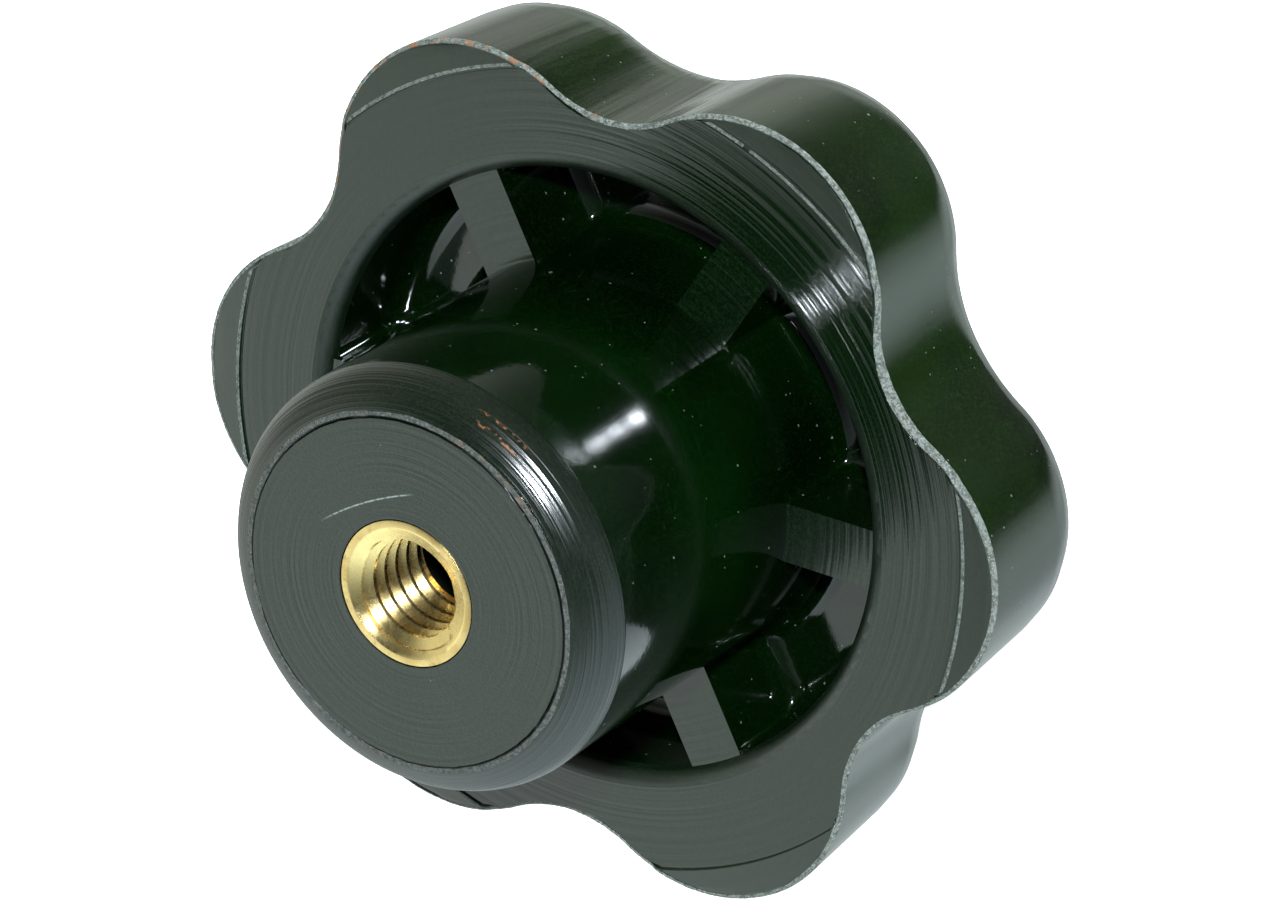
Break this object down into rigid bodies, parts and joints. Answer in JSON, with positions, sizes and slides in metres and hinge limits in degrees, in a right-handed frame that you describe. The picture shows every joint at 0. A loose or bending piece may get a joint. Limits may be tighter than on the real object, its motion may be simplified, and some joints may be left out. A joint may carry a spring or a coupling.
{
  "type": "star knob nut",
  "caption": "Round-lobed star knob nut: a black phenolic grip with a ribbed ring recess and a tall turned hub that holds a blind threaded brass insert, for tightening a clamp by hand.",
  "frame": {"origin": "centre of the flat crown face, on the thread axis", "axes": "+Z along the thread axis, out of the thread mouth; +X towards a lobe tip"},
  "size_m": [0.0622, 0.0566, 0.0369],
  "materials": {
    "phenolic": "gloss, with matte turned faces",
    "brass": "machined"
  },
  "bodies": {
    "root": {"knob_body": "phenolic", "threaded_insert": "brass"}
  },
  "joints": []
}
